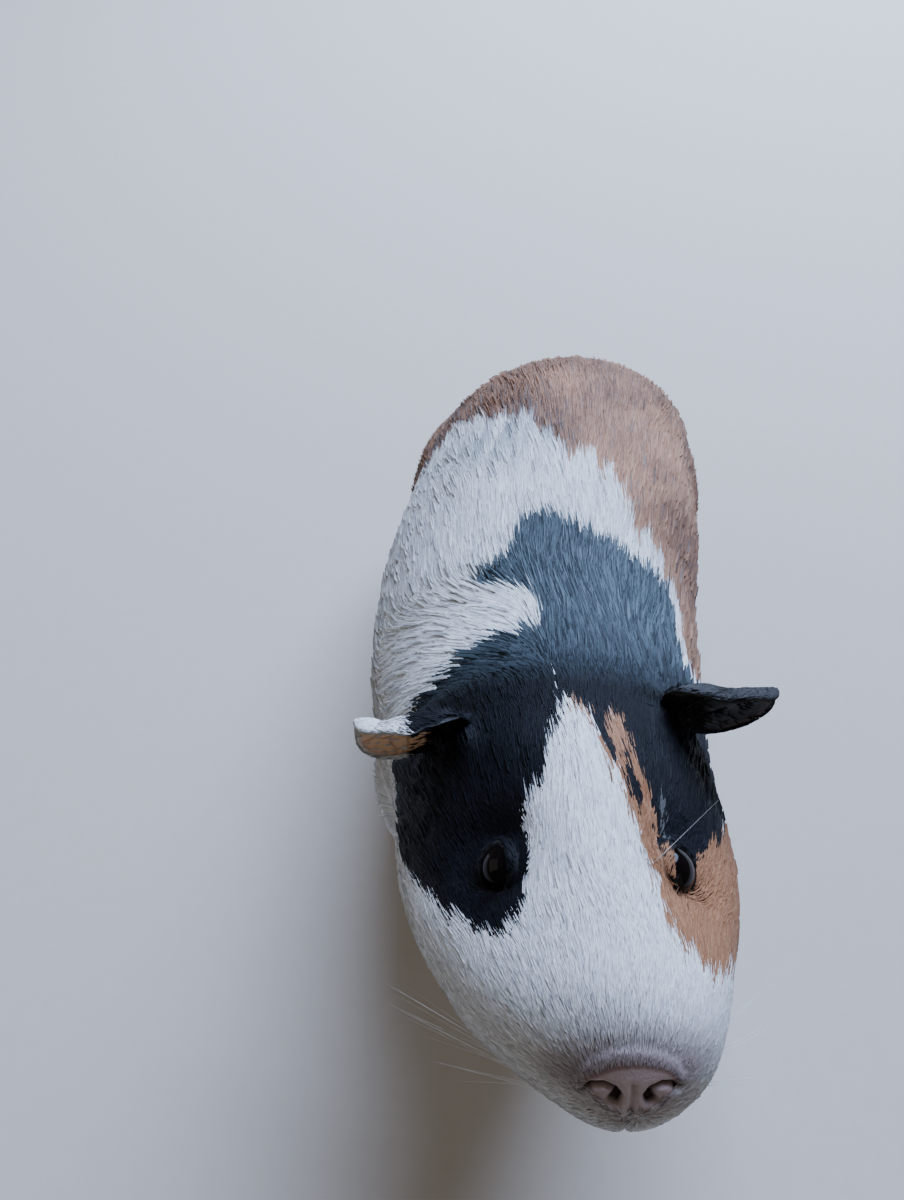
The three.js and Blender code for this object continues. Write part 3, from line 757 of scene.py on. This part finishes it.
def lie_of(spots, normals, chart, owners, ears):
    """The way the hair lies at each spot, as a unit vector in the skin."""
    around, behind = chart[:, 0] / DEGREE, chart[:, 1]
    part = {name: owners[:, number] for number, name in enumerate(PARTS)}
    side = np.sin(np.radians(around))
    rump = smoothstep(behind, *RUMP_DOWN)
    fan = 0.35 * smoothstep(behind, *FANNED)
    trunk = np.stack([side * (0.1 + fan), np.ones(len(side)), -0.35 * abs(side) - 1.1 * rump], 1)
    source = np.array([NOSE_MM[0], nose_tip / MM - SOURCE[0], NOSE_MM[2] - SOURCE[1]])
    head = unit(spots - source)
    head[:, 2] -= 0.25 * abs(side)
    lie = mixed(unit(head), trunk, smoothstep(behind, *FACE_TO_TRUNK))
    for centre in EYES.values():
        away = spots - np.array(centre) / MM
        gap = np.linalg.norm(away, axis=1)
        away -= np.sum(away * normals, axis=1, keepdims=True) * normals
        away = unit(away)
        towards = np.minimum(np.sum(lie * away, axis=1), 0) - PARTING[2]
        lie -= (towards * np.exp(-(((gap - PARTING[0]) / PARTING[1]) ** 2)))[:, None] * away
    swept = smoothstep(-around, *SWEPT_ROUND[0]) * (1 - smoothstep(-around, *SWEPT_ROUND[1]))
    swept *= smoothstep(behind, *SWEPT_BACK[0]) * (1 - smoothstep(behind, *SWEPT_BACK[1]))
    turned = np.stack([-np.ones(len(side)), 0.75 - 0.012 * np.abs(around), -0.4 * abs(side)], 1)
    lie = mixed(lie, turned, SWEPT_SHARE * swept)
    throat = smoothstep(-normals[:, 1], 0.2, 0.7) * smoothstep(behind, 34, 48) * (spots[:, 2] < 75)
    lie = mixed(lie, THROAT_DOWN, throat)
    lie = mixed(lie, LEGS_DOWN, smoothstep(part["leg"], 0.25, 0.7))
    lie = mixed(lie, FEET_FORWARD, smoothstep(part["foot"], 0.3, 0.7))
    outwards = np.ones((len(ears), 3)) * EARS_OUT
    outwards[:, 0] *= np.sign(ears)
    lie = mixed(lie, outwards, (ears != 0).astype(float))
    for share, size, seeds in WAVES:
        lie += share * np.stack([ripple(spots, size, seed) for seed in seeds], 1)
    lie -= np.sum(lie * normals, axis=1, keepdims=True) * normals
    return unit(lie)


hide_mesh.calc_loop_triangles()
corners = array_of(hide_mesh.loop_triangles, "vertices", 3, np.int32)
corner_loops = array_of(hide_mesh.loop_triangles, "loops", 3, np.int32)
flat_map = array_of(hide_mesh.uv_layers.active.data, "uv", 2)
part_owners = np.concatenate([owners, (ear_of != 0)[:, None].astype(float)], 1)
LABELS = PARTS + ["ear"]
table = part_owners @ np.array([TUFT[label] for label in LABELS])
length, width, thick = table.T
# Towards the nose tufts are shorter, narrower and denser.
SHORT_SPAN = (3, 46)
short = np.where(ear_of == 0, 1 - smoothstep(back, *SHORT_SPAN), 0)
length = length * (1 - 0.58 * short)
width = width * (1 - 0.38 * short)
thick = thick * (1 + 0.55 * short)
under = smoothstep(-normals[:, 2], 0.4, 0.9) * (points[:, 2] < 40)
inner_limb = smoothstep(-normals[:, 0] * np.sign(points[:, 0]), 0.3, 0.7) * (points[:, 2] < 30)
thick = thick * (1 - 0.55 * np.maximum(under, inner_limb))
thick = thick * np.clip(1 - bare, 0, 1)
width = np.where(hollow, 0.45 * width, width)
# Longer hair runs from the head over the root of each ear, and round the eyes it is short.
ear_root_long = 1.2 * (1 - smoothstep(ear_share, 0.15, 0.45)) * ~hollow
length = np.where(ear_of != 0, length * (1 + ear_root_long), length)
eye_gap = np.min([np.linalg.norm(points - np.array(eye) / MM, axis=1) for eye in EYES.values()], 0)
length = length * (0.32 + 0.68 * smoothstep(eye_gap, 6, 13))

UNRULY = 0.05  # how far single tufts turn from the lie
TILTED = 0.08  # how far they roll
ROUNDED = 0.36  # how much their sides catch light as if round
LOWEST = 0.3
STRAYS = 0.02
chance = np.random.default_rng(2024)
sides = points[corners]
area = np.linalg.norm(np.cross(sides[:, 1] - sides[:, 0], sides[:, 2] - sides[:, 0]), axis=1) / 2
wanted = np.concatenate([[0], np.cumsum(area * thick[corners].mean(1))])
tufts = int(wanted[-1])
face = np.searchsorted(wanted, np.arange(tufts) + chance.random(tufts), side="right") - 1
face = np.clip(face, 0, len(corners) - 1)
weights = chance.dirichlet((1, 1, 1), tufts)


def at_root(values):
    return np.einsum("ij,ij...->i...", weights, values[corners[face]])


root = at_root(points)
normal = unit(at_root(normals))
root_map = np.einsum("ij,ij...->i...", weights, flat_map[corner_loops[face]])
root_ears = ear_of[corners[face][:, 0]]
root_owners = at_root(owners)
lie = lie_of(root, normal, chart_of(root), root_owners, root_ears)
lie = unit(lie + UNRULY * chance.normal(size=(tufts, 3)))
lie = unit(lie - np.sum(lie * normal, axis=1, keepdims=True) * normal)
long = at_root(length) * chance.uniform(0.75, 1.15, tufts)
broad = at_root(width) * chance.uniform(0.7, 1.2, tufts)
near_eye = at_root(eye_gap)
high = at_root(depth) * chance.uniform(0.88, 1.05, tufts)
high *= 0.25 + 0.75 * smoothstep(near_eye, 5.5, 11)
high = np.maximum(high, LOWEST)
stray = chance.random(tufts) < STRAYS
high = np.where(stray, high * 1.25, high)

tree_of_hide = BVHTree.FromPolygons((points * MM).tolist(), corners.tolist())


def lifted(spots, heights):
    """Spots brought back to the hide and raised off it, the ways up, and the nearest points."""
    found = np.zeros((len(spots), 3))
    faces = np.zeros(len(spots), np.int32)
    for number, spot in enumerate((spots * MM).tolist()):
        hit = tree_of_hide.find_nearest(spot)
        found[number] = hit[0]
        faces[number] = hit[2]
    up = unit(normals[corners[faces]].mean(1))
    return found / MM + up * heights[:, None], up, corners[faces][:, 0]


KNEE_AT = 0.42  # share of a tuft's length at its widest place
READ_AT = 0.6  # the markings are read here, so that they show where they belong
knee, knee_up, _ = lifted(root + lie * (KNEE_AT * long)[:, None], 0.9 * high)
tip, tip_up, _ = lifted(root + lie * long[:, None], high * chance.uniform(0.86, 1.0, tufts))
half_vert = lifted(root + lie * (READ_AT * long)[:, None], high)[2]
stagger = 0.5 * chance.normal(size=tufts)
tuft_black = (inside["black"][half_vert] + stagger > 0).astype(float)
tuft_ginger = (inside_ginger[half_vert] + 1.6 * stagger > 0).astype(float)
tuft_ginger = np.where(root_ears == 0, tuft_ginger, 0)
# Dark ticking in the ginger of the rump, most on the right by its edge.
TICKS, MORE_TICKS = 0.1, 0.5  # share of tufts, and more by the edge
TICK_EDGE = 9
tuft_chart = chart_of(root)
edge_near = np.exp(-((inside["body"][half_vert] / TICK_EDGE) ** 2))
edge_near *= smoothstep(-tuft_chart[:, 0], -6, 12)
ticked = chance.random(tufts) < TICKS + MORE_TICKS * edge_near
ticked &= (tuft_ginger > 0) & (inside["cheek"][half_vert] < 0)
tuft_black = np.where(ticked & (tuft_black < 0.5), 0.55, tuft_black)
# The back of the left ear is thinly haired along its upper edge, and its black hair is set lighter
# there, to slate: painted sheen of light catching that edge.
ear_edge_sheen = (root_ears > 0) & (at_root(ear_place) < -0.4)
tuft_black = np.where(ear_edge_sheen, 0.94, tuft_black)
pale_hair = (wisp[half_vert] > chance.random(tufts)) & (tuft_black > 0.9)
tuft_black = np.where(pale_hair, 0.88, tuft_black)
tuft_ginger = np.where(pale_hair, 0, tuft_ginger)
# The white just before the rump is streaked with grey.
GREYED_AT = (-20, 156)
GREYED_WIDE = (26, 9)
half_chart = chart[half_vert]
greyed = np.exp(-(((half_chart / (DEGREE, 1) - GREYED_AT) / GREYED_WIDE) ** 2).sum(1))
greyed *= 0.5 + 0.5 * ripple(half_chart * (1, 0.2), 2.5, 31)

heading = unit(tip - knee)
right_hand = unit(np.cross(heading, knee_up))
half_width = (broad / 2)[:, None]
ROOT_DEEP = 0.25
locks = np.stack([
    root - normal * ROOT_DEEP,
    knee - right_hand * half_width,
    knee + right_hand * half_width,
    tip,
], 1)
tilt = knee_up + TILTED * chance.normal(size=(tufts, 3))
shading = np.stack([
    normal, unit(tilt - ROUNDED * right_hand), unit(tilt + ROUNDED * right_hand), unit(tip_up),
], 1)

CORNERS = 4  # root, the knee's two sides, tip
ALONG = (0.0, 0.5, 0.5, 1.0)
ACROSS = (0.5, 0.0, 1.0, 0.5)
SPINDLE = np.array([(0, 2, 1), (1, 2, 3), (0, 1, 3), (0, 3, 2)])
PATCH = 0.0015 * np.array([(0, -1), (-1, 0), (1, 0), (0, 1)])
# black, ginger, the tuft's own tone, along it
hair = np.zeros((tufts, CORNERS, 4))
for channel, values in enumerate((tuft_black, tuft_ginger, chance.random(tufts))):
    hair[:, :, channel] = values[:, None]
hair[:, :, 3] = ALONG
# across it, tint of the nose pad, grey streak
strand = np.zeros((tufts, CORNERS, 4))
strand[:, :, 0] = ACROSS
strand[:, :, 1] = at_root(near_pad)[:, None]
strand[:, :, 2] = np.clip(greyed, 0, 1)[:, None]



# Hair: keratin, softly glossy along its sides and darker at the root, where less light gets in;
# fine lines along each tuft are its single hairs, drawn 0.08 mm wide, half as coarse again as real
# ones. Black hair goes lighter, to slate, over the shoulders: partly its own tone and partly
# painted sheen of light from above. The fawn of the rump is clouded in patches of about 20 mm and
# ticked.
coat_hair, add, shader, place = new_material(
    "coat_hair", Roughness=0.6, IOR=1.5, Specular_IOR_Level=0.14, Sheen_Weight=0.04,
    Sheen_Roughness=0.4,
)
masks = add("ShaderNodeAttribute", attribute_name="hair")
is_black, is_ginger, own = add("ShaderNodeSeparateColor", {0: masks["Color"]})
up_hair = masks["Alpha"]
strands = add("ShaderNodeAttribute", attribute_name="strand")
over_tuft, by_pad, is_greyed = add("ShaderNodeSeparateColor", {0: strands["Color"]})
shift = add("ShaderNodeMath", {0: own, 1: 131.0}, operation="MULTIPLY")[0]
line_place = add("ShaderNodeCombineXYZ", {0: over_tuft, 1: shift, 2: up_hair})[0]
lines = add("ShaderNodeVectorMath", {
    0: line_place, 1: (3.4, 1.0, 0.7),
}, operation="MULTIPLY")[0]
single = add("ShaderNodeTexNoise", {"Vector": lines, "Scale": 1.0, "Detail": 1})["Fac"]
patchy = add("ShaderNodeTexNoise", {"Vector": place, "Scale": 45, "Detail": 3})["Fac"]
patch = add("ShaderNodeMapRange", {"Value": patchy, "From Min": 0.38, "From Max": 0.64})[0]
streak = add("ShaderNodeMath", {0: own, 1: 1.6}, operation="POWER")[0]
white = add(inputs={0: streak, 6: "#f6f5f2", 7: "#c3c6c8"}, **MIX)[2]
grey_streak = add(inputs={0: own, 6: "#878f96", 7: "#c9cdd0"}, **MIX)[2]
white = add(inputs={0: is_greyed, 6: white, 7: grey_streak}, **MIX)[2]
pale_fawn = add(inputs={0: own, 6: "#a87b60", 7: "#c99e82"}, **MIX)[2]
deep_fawn = add(inputs={0: own, 6: "#6d4f40", 7: "#a37d65"}, **MIX)[2]
fawn = add(inputs={0: patch, 6: deep_fawn, 7: pale_fawn}, **MIX)[2]
rust = add(inputs={0: own, 6: "#8c5e40", 7: "#ad7f5e"}, **MIX)[2]
along_body = add("ShaderNodeSeparateXYZ", {0: place})["Y"]
behind_head = add("ShaderNodeMapRange", {
    "Value": along_body, "From Min": -0.055, "From Max": 0.0,
})[0]
tan = add(inputs={0: behind_head, 6: rust, 7: fawn}, **MIX)[2]
coal = add(inputs={0: own, 6: "#04050a", 7: "#0c0f18"}, **MIX)[2]
# The lighter slate over the shoulders is partly the hair's own tone and partly painted sheen.
slate_sheen = add(inputs={0: own, 6: "#222b31", 7: "#66757d"}, **MIX)[2]
shoulder_sheen = add("ShaderNodeMapRange", {
    "Value": along_body, "From Min": -0.034, "From Max": -0.008,
})[0]
dark = add(inputs={0: shoulder_sheen, 6: coal, 7: slate_sheen}, **MIX)[2]
tone_mix = add(inputs={0: is_ginger, 6: white, 7: tan}, **MIX)[2]
tone_mix = add(inputs={0: is_black, 6: tone_mix, 7: dark}, **MIX)[2]
tone_mix = add(inputs={0: by_pad, 6: tone_mix, 7: "#a29392"}, **MIX)[2]
length_shade = add("ShaderNodeMapRange", {
    "Value": up_hair, "From Max": 0.6, "To Min": 0.85, "To Max": 1.0,
})[0]
line_shade = add("ShaderNodeMapRange", {
    "Value": single, "From Min": 0.3, "From Max": 0.7, "To Min": 0.84, "To Max": 1.06,
})[0]
shade = add("ShaderNodeMath", {0: length_shade, 1: line_shade}, operation="MULTIPLY")[0]
shaded = add(inputs={0: 1.0, 6: tone_mix, 7: shade}, blend_type="MULTIPLY", **MIX)[2]
wire(shader, {"Base Color": shaded})

# The coat is split by part of the body, so that each piece can be told and stays light.
BANDS = {
    "muzzle": (-9, 27), "face": (27, 62), "neck": (62, 106), "flank": (106, 168),
    "rump": (168, 999),
}
LIMBS_MEET = 125  # fore and hind limbs are told apart here
tuft_back = tuft_chart[:, 1]
ear_root = root_ears != 0
limb = root_owners[:, PARTS.index("leg")] + root_owners[:, PARTS.index("foot")] > 0.5
limb |= (tuft_back > 70) & (normal[:, 2] < -0.55)
limb &= ~ear_root
body = ~limb & ~ear_root
pieces = {"coat_ears": ear_root}
for side, beside in (("left", tuft_chart[:, 0] > 0), ("right", tuft_chart[:, 0] <= 0)):
    for band, (start, end) in BANDS.items():
        pieces[f"coat_{band}_{side}"] = body & beside & (tuft_back >= start) & (tuft_back < end)
    pieces[f"coat_forelimb_{side}"] = limb & beside & (tuft_back < LIMBS_MEET)
    pieces[f"coat_hindlimb_{side}"] = limb & beside & (tuft_back >= LIMBS_MEET)
for name, chosen in pieces.items():
    number = int(chosen.sum())
    mesh = bpy.data.meshes.new(name)
    mesh.vertices.add(number * CORNERS)
    mesh.vertices.foreach_set("co", (locks[chosen] * MM).ravel().astype(np.float32))
    turns = (np.arange(number)[:, None, None] * CORNERS + SPINDLE).ravel().astype(np.int32)
    mesh.loops.add(len(turns))
    mesh.loops.foreach_set("vertex_index", turns)
    mesh.polygons.add(number * len(SPINDLE))
    mesh.polygons.foreach_set("loop_start", np.arange(0, len(turns), 3, dtype=np.int32))
    mesh.polygons.foreach_set("use_smooth", np.ones(number * len(SPINDLE), bool))
    mesh.update(calc_edges=True)
    bake_map = mesh.uv_layers.new(name="OFBake")
    spot = (root_map[chosen][:, None, :] + PATCH)[:, SPINDLE.ravel()]
    bake_map.data.foreach_set("uv", np.clip(spot, 0, 1).ravel().astype(np.float32))
    store(mesh, "hair", hair[chosen])
    store(mesh, "strand", strand[chosen])
    mesh.normals_split_custom_set_from_vertices(shading[chosen].reshape(-1, 3))
    mesh.materials.append(coat_hair)
    piece = new_object(name, mesh)
    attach(piece, "root")

# ------ eyes
# The eyes are dark wet balls, nearly black and glossy as a tear film is, with a cornea that bulges
# a little towards the gaze. They sit in the hide's lids.

CORNEA_EDGE = 0.75  # cosine of its half angle
CORNEA_RISE = 0.035
eye_wet, add, shader, place = new_material(
    "eye_wet", Roughness=0.07, IOR=1.36, Specular_IOR_Level=0.32,
)
fibres = add("ShaderNodeTexNoise", {"Vector": place, "Scale": 1400, "Detail": 3})["Fac"]
iris = add(inputs={0: fibres, 6: "#050406", 7: "#100a09"}, **MIX)[2]
wire(shader, {"Base Color": iris})
for side, centre in EYES.items():
    ball = bmesh.new()
    bmesh.ops.create_uvsphere(ball, u_segments=64, v_segments=40, radius=EYE_RADIUS)
    look = Vector(GAZE[side]).normalized()
    for vert in ball.verts:
        bulge = max(0.0, vert.co.normalized().dot(look) - CORNEA_EDGE) / (1 - CORNEA_EDGE)
        vert.co *= 1 + CORNEA_RISE * bulge * bulge * (3 - 2 * bulge)
    bmesh.ops.translate(ball, verts=ball.verts, vec=centre)
    eyeball = piece_of(f"eyeball_{side}", ball, eye_wet)
    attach(eyeball, "root")
    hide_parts(f"eye_{side}")

# ------ claws
# The claws are horn, pale with darker clouds along them and a low gloss. They are the packed
# solids, with this material.

claw_horn, add, shader, place = new_material("claw_horn", Roughness=0.35, IOR=1.54)
lines = add("ShaderNodeTexNoise", {"Vector": place, "Scale": 1800, "Detail": 2})["Fac"]
horn = add(inputs={0: lines, 6: "#cdb9a4", 7: "#8d7562"}, **MIX)[2]
wire(shader, {"Base Color": horn})
for name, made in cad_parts.items():
    if "claw" in name:
        made.data.materials.clear()
        made.data.materials.append(claw_horn)

# ------ whiskers
# Whiskers are stiff white hairs, smooth and half glossy, that taper to nothing, in four rows of
# three on both sides of the muzzle, with one brow hair over the left eye.

whisker_hair, add, shader, place = new_material("whisker_hair", Roughness=0.4, IOR=1.55)
clouds = add("ShaderNodeTexNoise", {"Vector": place, "Scale": 90})["Fac"]
pale_tone = add(inputs={0: clouds, 6: "#f2f1ee", 7: "#cfcdc8"}, **MIX)[2]
wire(shader, {"Base Color": pale_tone})
WHISKER_RADIUS = 0.05
WHISKER_TAPER = 0.92
WHISKER_LONG = 19
WHISKER_SINK = -0.2  # below the hide's surface
RINGS = 9
RING = ((1, 0), (0, 1), (-1, 0), (0, -1))
whisker_rng = np.random.default_rng(77)
whiskers = bmesh.new()


def add_whisker(start, way, long, droop):
    """A tapering hair from a root, bending down as it goes."""
    rings = []
    way = way / np.linalg.norm(way)
    beside = np.cross(way, (0, 0, 1))
    beside /= np.linalg.norm(beside)
    above = np.cross(beside, way)
    for step in range(RINGS):
        share = step / (RINGS - 1)
        at = start + way * (share * long) + np.array([0, 0.12, -1]) * (droop * share * share)
        radius = WHISKER_RADIUS * (1 - WHISKER_TAPER * share)
        made = bmesh.ops.create_circle(whiskers, segments=4, radius=radius * MM, cap_ends=False)
        for vert, (aside, upwards) in zip(made["verts"], RING):
            vert.co = (at + (beside * aside + above * upwards) * radius) * MM
        rings.append(made["verts"])
    for first, second in zip(rings[:-1], rings[1:]):
        for i in range(4):
            whiskers.faces.new((first[i], first[(i + 1) % 4], second[(i + 1) % 4], second[i]))
    whiskers.faces.new(rings[0][::-1])
    whiskers.faces.new(rings[-1])


for sign in (1, -1):
    for row in range(4):
        for place_in_row in range(3):
            aim = NOSE_MM + np.array([
                sign * (8 + 2.4 * place_in_row + whisker_rng.uniform(-0.6, 0.6)),
                4 + 3.0 * place_in_row,
                -8 - 2.7 * row + whisker_rng.uniform(-0.5, 0.5),
            ])
            start = lifted(aim[None], np.array([WHISKER_SINK]))[0][0]
            way = np.array([sign * 1.0, 0.25 + 0.2 * place_in_row, -0.12 - 0.14 * row])
            way += whisker_rng.normal(size=3) * 0.08
            long_hair = WHISKER_LONG + 3.0 * place_in_row + whisker_rng.uniform(-2, 3)
            add_whisker(start, way, long_hair, 4)
brow = np.array(EYES["left"]) / MM + (-4.4, -1.0, 3.5)
start = lifted(brow[None], np.array([WHISKER_SINK]))[0][0]
add_whisker(start, np.array([0.9, 0.72, 0.45]), WHISKER_LONG, 0.5)
bmesh.ops.recalc_face_normals(whiskers, faces=whiskers.faces)
whisker_piece = piece_of("whiskers", whiskers, whisker_hair)
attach(whisker_piece, "root")

# ------ floor, light and camera
# A plain pale floor of matt paper, one broad cool lamp above and behind, and two weak warm ones.

ground = bmesh.new()
bmesh.ops.create_grid(ground, x_segments=1, y_segments=1, size=3)
floor_paper, add, shader, place = new_material("floor_paper", Roughness=0.9)
fibre = add("ShaderNodeTexNoise", {"Vector": place, "Scale": 220, "Detail": 3})["Fac"]
paper = add(inputs={0: fibre, 6: "#cbc3b8", 7: "#d1cac0"}, **MIX)[2]
wire(shader, {"Base Color": paper})
floor = piece_of("floor", ground, floor_paper)
floor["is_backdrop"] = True

LAMPS_AIM = Vector((0, 0, 0.05))
LAMPS = [
    # name, place, size, power, colour
    ("window", (0.27, 0.72, 0.8), 0.8, 37.0, "#c2d7ff"),
    ("front", (0.3, -0.8, 0.5), 0.9, 0.7, "#fff1e6"),
    ("side", (-0.8, 0.1, 0.5), 0.7, 0.8, "#fff4e8"),
]
for name, spot, size, power, hue in LAMPS:
    lamp = bpy.data.lights.new(name, "AREA")
    lamp.energy = power
    lamp.size = size
    lamp.color = colour(hue)[:3]
    holder = bpy.data.objects.new(name, lamp)
    holder.location = spot
    aim = LAMPS_AIM - Vector(spot)
    holder.rotation_euler = aim.to_track_quat("-Z", "Y").to_euler()
    bpy.context.scene.collection.objects.link(holder)
world = bpy.data.worlds.new("studio")
world.use_nodes = True
wire(world.node_tree.nodes["Background"], {"Color": "#eee8e0", "Strength": 0.11})
bpy.context.scene.world = world

lens = bpy.data.cameras.new("camera")
lens.lens = 27
lens.sensor_width = 36
lens.clip_start = 0.01
camera = bpy.data.objects.new("camera", lens)
camera.location = (-0.0274, -0.12285, 0.248)
camera.rotation_euler = (math.radians(36), 0, 0)
bpy.context.scene.collection.objects.link(camera)
bpy.context.scene.camera = camera

# ------ sizes

low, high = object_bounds()
